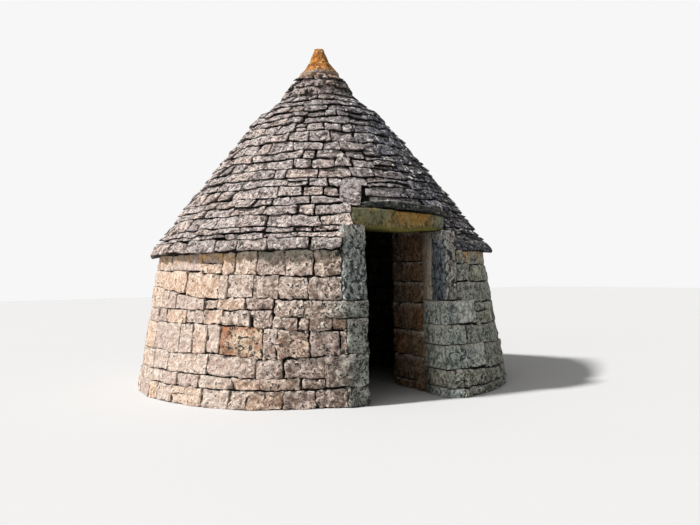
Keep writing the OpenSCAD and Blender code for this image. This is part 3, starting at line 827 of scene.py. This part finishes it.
roomSpec = {
    "stone": {"cells": (3, 1, 2), "arris": 0.018, "wear": 0.7, "coarse": (0.01, 0.12), "fine": (0.003, 0.04),
              "dent": (0.01, 0.08), "round": 0.12, "swell": 0.01, "warp": 0.008, "deepFrom": 0.03},
    "course": {"gap": 0.012, "push": 0.007, "swing": 0.006, "inset": (-0.004, 0.008), "depth": 0.16,
               "nip": 0.006, "inside": True},
    "rows": 7,
    "lengths": (0.16, 0.3, 0.46),
    "lean": 0.008,
    "thin": 0.08,
    "wander": 0.012,
    "seed": 33,
    "fillBack": 0.07,
}
doorEnds = [("x", doorLeft), ("x", doorRight)]
roomLevels = [wallTop * row / roomSpec["rows"] for row in range(roomSpec["rows"] + 1)]

outerHexes = layWall()
innerHexes = layRows(roomSpec, roomLevels, lambda turn, z: roomRadius,
                     np.random.default_rng(roomSpec["seed"]), doorEnds)
print("wall laid:", len(outerHexes), "outer and", len(innerHexes), "inner stones")


def stoneTurn(hexa):
    middle = hexa[:, 0].reshape(-1, 3).mean(0)
    return math.degrees(math.atan2(-middle[0], -middle[1])) % 360


def nodeTurns(name):
    corners = nodeCorners(name)
    turns = np.degrees(np.arctan2(-corners[:, 0], -corners[:, 1])) % 360
    return turns.min(), turns.max()


def isRust(hexa):
    height, start, stop = wallSpec["rustBlock"]
    return start < stoneTurn(hexa) < stop and hexa[..., 2].min() < height < hexa[..., 2].max()


def byDoor(hexa):
    # inner stones between the jambs go with the reveals
    return abs(hexa[..., 0].mean()) < abs(jambLeft) and hexa[..., 1].mean() < 0


def wallFill(turn, z):
    return wallFace(turn, z) - wallSpec["recess"]


cutTurns = [nodeTurns(node)[0] for node in wallNodes[1:6]] + [nodeTurns(wallNodes[5])[1]]
wallCuts = [("x", jambLeft)] + plumbJoints(cutTurns) + [("x", jambRight)]
fillBack, knee = roomRadius + roomSpec["fillBack"], wallSpec["fillKnee"]
fillLevels = [0.0, 0.3, 0.6, rightSplit - knee, rightSplit + knee, 1.3, wallTop]
fillProfile = [(fillBack, wallTop), (fillBack, 0.0)] + [(wallFill, z) for z in fillLevels]

for number, node in enumerate(wallNodes):
    firstTurn = wallCuts[number][1] if number else 0
    lastTurn = wallCuts[number + 1][1] if number < 6 else 360
    outer = [h for h in outerHexes if firstTurn <= stoneTurn(h) < lastTurn]
    inner = [h for h in innerHexes if firstTurn <= stoneTurn(h) < lastTurn and not byDoor(h)]
    rust = [h for h in outer if isRust(h)]
    stone = dict(wallSpec["stone"])
    if number in (0, 1, 6):
        stone["cells"] = wallSpec["nearCells"]
    if number:
        stone.update(wallSpec["smooth"])
    if number in (0, 6):
        stone["deepFrom"] = wallSpec["endsDeepFrom"]
    parts = [
        carve([h for h in outer if not isRust(h)], stone, 100 + number, wallMaterial),
        carve(inner, roomSpec["stone"], 200 + number, domeMaterial),
        ringSector(wallCuts[number:number + 2], fillProfile, wallSpec["fillSteps"]),
    ]
    if rust:
        parts.append(carve(rust, stone, 150, rustMaterial))
    makePiece(node, "_blocks", parts)


# Roof: an eave course and eighteen slab courses, each with a small lip over the one below

roofSpec = {
    "stone": {"cells": (12, 1, 5), "arris": 0.011, "wear": 1.2, "round": 0.1, "swell": 0.012, "warp": 0.015,
              "deepFrom": 0.025, "coarse": (0.011, 0.07), "fine": (0.007, 0.028), "dent": (0.03, 0.045)},
    "course": {"gap": 0.003, "push": 0.01, "swing": 0.012, "inset": (0.004, 0.04), "depth": 0.2,
               "nip": 0.022},
    "eaveInset": (-0.03, 0.0),
    "midBeds": (0.5, 0.58, 0.43, 0.49, 0.52, 0.49, 0.58, 0.44, 0.49),    # where a band's second course starts
    "lengths": (0.17, 0.28, 0.48),
    "topLengths": (0.1, 0.18, 0.3),
    "lengthRadii": (0.5, 2.1),    # where the slabs have the top's lengths, and where the full ones
    "startTo": 12,
    "seed": 5,
    "lean": 0.01,
    "thin": 0.06,
    "thinFrom": 0.09,
    "wander": 0.012,
    "eaveWander": 0.006,
    "recess": 0.06,
    "fillDepth": 0.33,
    "fillShort": 0.001,
    "fillSteps": 64,
    "straight": 0.012,    # how much of the round's bend a slab's face does without
    # joints read left of the doorway in the lowest courses
    "joints": [[28.1, 40.0, 49.2, 56.6, 68.4], [31.8, 41.3], [27.4, 32.6, 41.6, 49.8], [25.1, 33.5, 42.0],
               [26.4]],
    # the same, right of the doorway
    "rightJoints": [[318.0, 331.0], [313.0, 329.0], [320.0, 332.0], [318.0, 333.0], [327.0]],
    # how far two beds drop beside the doorway
    "drops": {3: 0.02, 4: 0.034},
    # where the courses stop beside the doorway, from the eave up
    "starts": [-0.736, -0.714, -0.711, -0.606, -0.606],
    "stops": [0.639, 0.643, 0.639, 0.5, 0.66],
    "fillStarts": [-0.75, -0.78, -0.78, -0.65, -0.64],
    "fillStops": [0.66, 0.66, 0.66, 0.51, 0.68],
    # the stone left of the lintel stays lower than its course
    "lowStone": (4, 0.88),
    # the tall slab over the lintel's left end: its two joints, foot and head, and how far its foot stands out
    "tallSlab": ((11.6, 8.4), (18.5, 17.0), (2.02, 2.285), (0.07, 0.0)),
    "tallDepth": 0.18,
    # the two courses that it stands in go round from its left side, and stop short of its right side
    "aroundTall": {5: (18.7, 367.3), 6: (17.9, 368.3)},
    # joints between the long slabs over the hood
    "overHood": {5: [324.0, 345.0], 6: [332.0, 350.0]},
}


def tallHex():
    right, left, heights, stands = roofSpec["tallSlab"]
    hexa = np.zeros((2, 2, 2, 3))
    for u, v, w in boxCorners:
        radius = roofRadius(heights[w]) + stands[w] - roofSpec["tallDepth"] * v
        hexa[u, v, w] = (*spotAt((right, left)[u][w], radius), heights[w])
    return hexa


def layRoof():
    spec = roofSpec
    dice = np.random.default_rng(spec["seed"])
    heights = [eaveSize["low"]]
    for size, share in zip(bandSizes, spec["midBeds"]):
        heights += [size["low"], size["low"] + share * (size["high"] - size["low"])]
    heights.append(neckHeights[0])
    wanders = [spec["eaveWander"]] + [spec["wander"]] * (len(heights) - 2) + [0]
    beds = [bedCurve([(24, z - spec["drops"].get(n, 0)), (38, z)], wander, 20 + n)
            for n, (z, wander) in enumerate(zip(heights, wanders))]
    below, courses = [], []
    shortest, longest = spec["lengthRadii"]
    for row in range(len(heights) - 1):
        radius = roofRadius(heights[row])
        share = np.clip((radius - shortest) / (longest - shortest), 0, 1)
        lengths = [a * share + b * (1 - share) for a, b in zip(spec["lengths"], spec["topLengths"])]
        if row < len(spec["starts"]):
            before, after = readJoints(spec, row)
        else:
            turn = dice.uniform(0, spec["startTo"])
            first, last = spec["aroundTall"].get(row, (turn, turn + 360))
            before = plumbJoints([first])
            after = plumbJoints(spec["overHood"].get(row, []) + [last])
        joints = splitArc(before, after, radius, lengths, spec["lean"], dice, below)
        below = [joint[0] for joint in joints if joint[0] != "x"]
        cells = courseCells(joints, spec, heights[row + 1] - heights[row], dice)
        if row == spec["lowStone"][0]:
            cells = [(*joints[:2], 0, spec["lowStone"][1])] + [cell for cell in cells if cell[0] != joints[0]]
        course = spec["course"] if row else {**spec["course"], "inset": spec["eaveInset"]}
        courses.append([ringHex(cell, beds[row], beds[row + 1], roofFace, course, dice) for cell in cells])
    courses[5].append(tallHex())
    return heights, courses


roofBeds, roofCourses = layRoof()
print("roof laid:", sum(len(course) for course in roofCourses), "slabs")


def slabFill(turn, z):
    return roofFace(turn, z) - roofSpec["recess"]


def roofFill(row):
    low, high = roofBeds[row], roofBeds[row + 1] - roofSpec["fillShort"]
    back = roofRadius(high) - roofSpec["fillDepth"]
    ends = None
    if row < len(roofSpec["fillStarts"]):
        ends = [("x", roofSpec["fillStarts"][row]), ("x", roofSpec["fillStops"][row])]
    profile = [(back, low), (slabFill, low), (slabFill, high), (back, high)]
    return ringSector(ends, profile, roofSpec["fillSteps"])


def slabBow(hexa):
    # a long slab's face follows the round
    chord = np.linalg.norm(hexa[1, 0, 0] - hexa[0, 0, 0])
    radius = np.hypot(*hexa[0, 0, 0, :2])
    return max(0.0, chord ** 2 / (8 * radius) - roofSpec["straight"]), 0.0, 0.0


for number, node in enumerate(["eave_course"] + bandNodes):
    parts = []
    for row in ((2 * number - 1, 2 * number) if number else (0,)):
        slabs = roofCourses[row]
        material = roofMaterial if row else eaveMaterial
        parts.append(carve(slabs, roofSpec["stone"], 300 + row, material, [slabBow(hexa) for hexa in slabs]))
        parts.append(roofFill(row))
    makePiece(node, "_stones", parts)


# Dome: two courses of stones for each corbelled ring. The lowest two rings stop at the doorway's lintels.

domeSpec = {
    "course": {"gap": 0.013, "push": 0.008, "swing": 0.006, "inset": (-0.004, 0.01), "depth": 0.18,
               "nip": 0.006, "inside": True},
    "lengths": (0.16, 0.28, 0.42),
    "lean": 0.01,
    "thin": 0,
    "wander": 0,
    "startTo": 20,
    "seed": 60,
    "stepShare": 0.25,
    "lastStep": 0.1,
    "fillBack": 0.12,
    "fillShort": 0.02,
    "fillSteps": 40,
}


def layRing(number, size, ends):
    dice = np.random.default_rng(domeSpec["seed"] + number)
    step = domeSpec["lastStep"]
    if number < 6:
        step = size["inner"] - ringSize(corbelNodes[number + 1])["inner"]
    levels = size["low"], (size["low"] + size["high"]) / 2, size["high"]
    hexes = []
    for row in (0, 1):
        radius = size["inner"] + step * domeSpec["stepShare"] * (1 - 2 * row)
        hexes += layRows(domeSpec, levels[row:row + 2], lambda turn, z: radius, dice, ends)
    return hexes


for number, node in enumerate(corbelNodes):
    size = ringSize(node)
    stoneEnds, fillEnds = (doorEnds, [("x", jambLeft), ("x", jambRight)]) if number < 2 else (None, None)
    back, short = size["inner"] + domeSpec["fillBack"], domeSpec["fillShort"]
    profile = [(back, size["low"]), (size["outer"] - short, size["low"]),
               (size["outerHead"] - short, size["high"]), (back, size["high"])]
    makePiece(node, "_stones", [
        carve(layRing(number, size, stoneEnds), roomSpec["stone"], 400 + number, domeMaterial),
        ringSector(fillEnds, profile, domeSpec["fillSteps"]),
    ])


# Doorway: jambs, uprights, reveals, three lintels and the hood slab

def boxHex(low, high, front="-y"):
    # eight corners of an upright box whose worn face looks to -Y, to +X or to -X.
    hexa = np.zeros((2, 2, 2, 3))
    ends = (low, high)
    for u, v, w in boxCorners:
        if front == "-y":
            hexa[u, v, w] = (ends[u][0], ends[v][1], ends[w][2])
        else:
            hexa[u, v, w] = (ends[1 - v if front == "+x" else v][0], ends[u][1], ends[w][2])
    return hexa


def frontAt(x, z, plumb):
    # plumb at the opening, and flush with the wall beyond the jamb
    if jambLeft <= x <= lowerRight:
        return plumb
    return math.sqrt(wallFace(edgeTurn(("x", x), wallFace, z), z) ** 2 - x * x)


def faceHex(left, right, low, high, depth, push=0.0, plumb=doorFront):
    hexa = np.zeros((2, 2, 2, 3))
    for u, v, w in boxCorners:
        x, z = (left, right)[u], (low, high)[w]
        front = frontAt(x, z + doorSpec["readIn"] * (1 - 2 * w), plumb) + push
        hexa[u, v, w] = (x, -front + depth * v, z)
    return hexa


doorSpec = {
    "stone": {"cells": (12, 1, 12), "arris": 0.009, "wear": 1.1, "round": 0.03, "swell": 0.01, "warp": 0.008,
              "deepFrom": 9.0, "coarse": (0.01, 0.1), "fine": (0.006, 0.035), "dent": (0.022, 0.055)},
    "upright": {"cells": (10, 1, 26), "arris": 0.011, "wear": 1.1, "round": 0.01, "swell": 0.006,
                "warp": 0.006, "deepFrom": 9.0, "coarse": (0.009, 0.1), "fine": (0.006, 0.035),
                "dent": (0.02, 0.055)},
    "slab": {"cells": (34, 1, 8), "arris": 0.014, "wear": 0.7, "round": 0.02, "swell": 0.0, "warp": 0.004,
             "deepFrom": 9.0, "coarse": (0.007, 0.14), "fine": (0.004, 0.04), "dent": (0.01, 0.08)},
    "hoodStone": {"coarse": (0.011, 0.14), "dent": (0.02, 0.08), "wear": 1.2},
    "gap": 0.007,
    "bedGap": 0.003,
    "leftProud": 0.004,
    "readIn": 0.02,    # the wall's face is read this far inside a block's foot and head
    # levels of the jamb blocks from the ground up, and how far each runs into the wall and stands out
    "left": {"levels": (0.0, 0.203, 0.521, 0.875, leftSplit), "reach": (lowerLeft, -0.884, lowerLeft, -1.07),
             "push": (0.02, 0.022, 0.018, 0.012), "seed": 501,
             "stone": {"cells": (32, 1, 14), "coarse": (0.014, 0.075), "fine": (0.01, 0.035),
                       "dent": (0.034, 0.055)}},
    "right": {"levels": (0.0, 0.1, 0.29, 0.545, 0.755, rightSplit),
              "reach": (0.62, 0.62, 1.079, 0.769, 0.985), "push": (0.0, 0.004, 0.0, -0.004, 0.003),
              "seed": 503, "stone": {"cells": (22, 1, 12)}},
    "revealLevels": (0.0, 0.1, 0.39, 0.67, 0.98, 1.22, 1.45, 1.81),
    "revealDepths": (0.15, 0.11),
    "revealPush": 0.005,
    "revealSplit": (0.35, 0.65),
    "revealSeed": 70,
    "lintelBows": (0.0, 0.045, 0.02),
    "hoodBows": (0.112, -0.028, 0.05),
    "hoodLift": 0.004,
    "hoodCut": 0.16,    # its left end runs back at a slant
    # packing stones under the hood, as left, right, front and foot, and how deep and how far back they go
    "packing": ((0.4, 0.53, -1.9, 2.005), (0.54, 0.67, -1.9, 1.965), (0.06, 0.55, -1.76, 1.98)),
    "packDepth": 0.2,
    "packBack": -1.64,
}

gap, bedGap = doorSpec["gap"], doorSpec["bedGap"]


def layJamb(spec, inner, plumb):
    blocks, bows = [], []
    for low, high, reach, push in zip(spec["levels"], spec["levels"][1:], spec["reach"], spec["push"]):
        left, right = sorted((reach, inner))
        block = faceHex(left + gap * (inner < 0), right - gap * (inner > 0), low + gap / 2, high - gap / 2,
                        plumb - jambBack, push, plumb)
        blocks.append(block)
        # the face swells as far as the wall's bend stands out from a straight line between the ends
        bend = frontAt((left + right) / 2, (low + high) / 2, plumb)
        bows.append((max(0.0, bend + block[:, 0, :, 1].mean() + push), 0.0, 0.0))
    return blocks, bows


for side, inner, plumb, material in (("left", doorLeft, doorFront, quoinMaterial),
                                     ("right", doorRight, lowerFront, rightQuoinMaterial)):
    spec = doorSpec[side]
    blocks, bows = layJamb(spec, inner, plumb)
    makePiece(side + "_lower_jamb", "_blocks",
              [carve(blocks, {**doorSpec["stone"], **spec["stone"]}, spec["seed"], material, bows)])

lintelLeft, lintelRight = (cornersAt("lintel", x)[:, 2] for x in (lintelLow.x, lintelHigh.x))
bedLeft, bedRight = lintelLeft.min(), lintelRight.min()

leftUpright = faceHex(jambLeft, doorLeft, leftSplit + gap, bedLeft - gap, jambDepth, doorSpec["leftProud"])
rightUpright = faceHex(doorRight, lowerRight, rightSplit + gap, bedRight - gap, jambDepth)
rightUpright[1, :, :, 0] = footRight, jambRight
makePiece("left_upright", "_block",
          [carve([leftUpright], doorSpec["upright"], 502, uprightMaterial)])
makePiece("right_upright", "_block",
          [carve([rightUpright], doorSpec["upright"], 504, rightUprightMaterial)])


def layReveal(node, side):
    dice = np.random.default_rng(doorSpec["revealSeed"] + side)
    near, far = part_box(node)
    opening, front = (doorLeft, "+x") if side < 0 else (doorRight, "-x")
    depth = doorSpec["revealDepths"][side > 0]
    levels = doorSpec["revealLevels"]
    hexes = []
    for low, high in zip(levels, levels[1:]):
        split = near.y + (far.y - near.y) * dice.uniform(*doorSpec["revealSplit"])
        for start, end in ((near.y, split), (split, far.y)):
            left, right = sorted((opening + dice.normal(0, doorSpec["revealPush"]), opening + side * depth))
            hexes.append(boxHex((left, start + gap, low + gap), (right, end - gap, high - gap), front))
    return hexes


for side, node in ((-1, "left_reveal"), (1, "right_reveal")):
    corner = [h for h in innerHexes if byDoor(h) and h[..., 0].mean() * side > 0]
    makePiece(node, "_blocks", [
        carve(layReveal(node, side), doorSpec["stone"], 510 + side, passageMaterial),
        carve(corner, roomSpec["stone"], 520 + side, domeMaterial),
    ])

lintel = boxHex(lintelLow, lintelHigh)
lintel[0, :, :, 2] = bedLeft + bedGap, lintelLeft.max() - bedGap
lintel[1, :, :, 2] = bedRight + bedGap, lintelRight.max() - bedGap
makePiece("lintel", "_stone",
          [carve([lintel], doorSpec["slab"], 530, lintelMaterial, [doorSpec["lintelBows"]])])
for number, node in enumerate(("middle_lintel", "inner_lintel")):
    low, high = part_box(node)
    slab = boxHex((low.x, low.y, low.z + bedGap), (high.x, high.y - gap, high.z - bedGap))
    makePiece(node, "_stone",
              [carve([slab], doorSpec["slab"], 531 + number, passageMaterial)])

hoodLow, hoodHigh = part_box("hood_slab")
hood = boxHex(hoodLow, hoodHigh)
for u, x in enumerate((hoodLow.x, hoodHigh.x)):
    end = cornersAt("hood_slab", x)
    hood[u, 0, :, 1] = end[:, 1].min()
    hood[u, :, 0, 2] = end[:, 2].min() + doorSpec["hoodLift"]
    hood[u, :, 1, 2] = end[:, 2].max()
hood[0, 1, :, 0] += doorSpec["hoodCut"]
packing = []
for left, right, front, foot in doorSpec["packing"]:
    back = min(front + doorSpec["packDepth"], doorSpec["packBack"])
    packing.append(boxHex((left, front, foot), (right, back, hoodHigh.z)))
makePiece("hood_slab", "_stone", [
    carve([hood], {**doorSpec["slab"], **doorSpec["hoodStone"]}, 540, hoodMaterial, [doorSpec["hoodBows"]]),
    carve(packing, roofSpec["stone"], 541, roofMaterial),
])
print("doorway built")


# Neck and pinnacle: revolved forms with a rough surface, and stones in the neck's mortar

neckSpec = {
    "stone": {"cells": (5, 1, 4), "arris": 0.02, "wear": 1.1, "coarse": (0.018, 0.07), "fine": (0.01, 0.03),
              "dent": (0.034, 0.05), "round": 0.3, "swell": 0.014, "warp": 0.022, "deepFrom": 0.015},
    "course": {"gap": 0.02, "push": 0.018, "swing": 0.012, "inset": (0.0, 0.02), "depth": 0.1, "nip": 0.026},
    "rows": 3,
    "lengths": (0.1, 0.17, 0.28),
    "lean": 0.02,
    "thin": 0,
    "wander": 0.035,
    "startTo": 30,
    "seed": 9,
    "bedSeed": 50,
    "mortarBack": 0.045,
    "mortar": {"rings": 24, "sides": 120, "rough": ((0.012, 0.08), (0.006, 0.03)), "seed": 3},
}
tipSpec = {
    "form": {"rings": 44, "sides": 110, "rough": ((0.012, 0.09), (0.007, 0.03)), "seed": 8, "roundTop": 0.01,
             "skirt": 0.02},
    "footIn": 0.02,
}


def revolve(material, heights, radii, rings, sides, rough, seed, roundTop=0.0, skirt=0.0):
    levels = np.linspace(heights[0], heights[-1], rings)
    radius = np.repeat(np.interp(levels, heights, radii)[:, None], sides, 1)
    turns = np.radians(np.arange(sides) * 360 / sides)
    level = np.repeat(levels[:, None], sides, 1)
    points = np.stack([-radius * np.sin(turns), -radius * np.cos(turns), level], -1)
    bump = sum(amount * noiseAt(points, wide, seed + n * 3.3) for n, (amount, wide) in enumerate(rough))
    away = points / np.maximum(radius, 0.01)[..., None]
    away[..., 2] = 0
    points = points + away * bump[..., None]
    points[-1, :, 2] -= roundTop
    points[0, :, 2] -= skirt * (1 + noiseAt(points[0], 0.12, seed))
    faces = []
    for ring in range(rings - 1):
        faces += loopFaces((ring + 1) * sides, ring * sides, sides)
    faces.append(list(range(sides)))
    top = rings * sides
    for n in range(sides):
        faces.append([top - sides + (n + 1) % sides, top, top - sides + n])
    return np.vstack([points.reshape(-1, 3), [[0, 0, levels[-1]]]]), faces, {}, material


def neckFace(turn, z):
    return float(np.interp(z, neckHeights, neckRadii))


neckLevels = np.linspace(neckHeights[0], neckTop, neckSpec["rows"] + 1)
neckHexes = layRows(neckSpec, neckLevels, neckFace, np.random.default_rng(neckSpec["seed"]),
                    seed=neckSpec["bedSeed"])
makePiece("neck", "_stones", [
    carve(neckHexes, neckSpec["stone"], 600, neckMaterial),
    revolve(neckMaterial, neckHeights, neckRadii - neckSpec["mortarBack"], **neckSpec["mortar"]),
])
tipShape = np.minimum(tipRadii, tipRadii.max() - tipSpec["footIn"])
makePiece("pinnacle", "_stone",
          [revolve(tipMaterial, tipHeights, tipShape, **tipSpec["form"])])

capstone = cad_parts["capstone"]
capstone.data.materials.clear()
capstone.data.materials.append(domeMaterial)
print("top built;", sum(triangleCount.values()), "triangles, most", max(triangleCount.values()))


# Camera, in the place that the photo was taken from

cameraSpec = {"place": (-3.755, -8.187, 1.305), "heading": 26.9, "pitch": 1.0, "roll": 0.92, "lens": 36.0,
              "sensor": 36.0, "reach": 200.0}


def placeCamera():
    data = bpy.data.cameras.new("camera")
    data.lens = cameraSpec["lens"]
    data.sensor_width = cameraSpec["sensor"]
    data.clip_end = cameraSpec["reach"]
    camera = addObject("camera", data)
    heading, pitch, roll = (math.radians(cameraSpec[key]) for key in ("heading", "pitch", "roll"))
    level = Vector((math.sin(heading), math.cos(heading), 0))
    forward = level * math.cos(pitch) + Vector((0, 0, math.sin(pitch)))
    right = forward.cross(Vector((0, 0, 1))).normalized()
    tilted = right * math.cos(roll) - right.cross(forward) * math.sin(roll)
    turned = Matrix((tilted, tilted.cross(forward), -forward)).transposed().to_4x4()
    camera.matrix_world = Matrix.Translation(cameraSpec["place"]) @ turned
    bpy.context.scene.camera = camera


placeCamera()

# Light: a key from the left, a wide soft fill from the front left, and an even pale world

lightSpec = {"key": (96.0, 46.0, 5.5, 5.0), "fill": (60.0, 14.0, 0.9, 50.0),    # turn, rise, strength, width
             "away": 12.0, "world": 0.33, "backdrop": (0.93, 0.93, 0.93), "floor": (0.55, 0.545, 0.54),
             "floorReach": 40.0}


def lightScene():
    for name in ("key", "fill"):
        turn, rise, strength, width = lightSpec[name]
        rise = math.radians(rise)
        toward = Vector((*spotAt(turn, math.cos(rise)), math.sin(rise)))
        data = bpy.data.lights.new(name, "SUN")
        data.energy = strength
        data.angle = math.radians(width)
        lamp = addObject(name, data)
        lamp.rotation_euler = toward.to_track_quat("Z", "Y").to_euler()
        lamp.location = toward * lightSpec["away"]
    g = Graph(bpy.data.worlds.new("studio"))
    lit = g.add("ShaderNodeBackground", {"Color": (1, 1, 1), "Strength": lightSpec["world"]})
    seen = g.add("ShaderNodeBackground", {"Color": lightSpec["backdrop"], "Strength": 1.0})
    light = g.add("ShaderNodeMixShader", {0: g.add("ShaderNodeLightPath", {}), 1: lit, 2: seen})
    g.add("ShaderNodeOutputWorld", {"Surface": light})
    bpy.context.scene.world = g.owner


def layFloor():
    mesh = bpy.data.meshes.new("floor")
    far = lightSpec["floorReach"]
    mesh.from_pydata([(-far, -far, 0), (far, -far, 0), (far, far, 0), (-far, far, 0)], [], [(0, 1, 2, 3)])
    floor = addObject("floor", mesh)
    g = Graph(bpy.data.materials.new("floor"))
    cloud = g.noise(g.add("ShaderNodeTexCoord", {}, 3), 2.0, 3.0)
    colour = g.mix(cloud, lightSpec["floor"], tuple(0.97 * c for c in lightSpec["floor"]))
    mesh.materials.append(g.finish(colour, 0.8, cloud, 0.001))


lightScene()
layFloor()
bpy.context.scene.view_settings.view_transform = "Standard"

print("stage set")
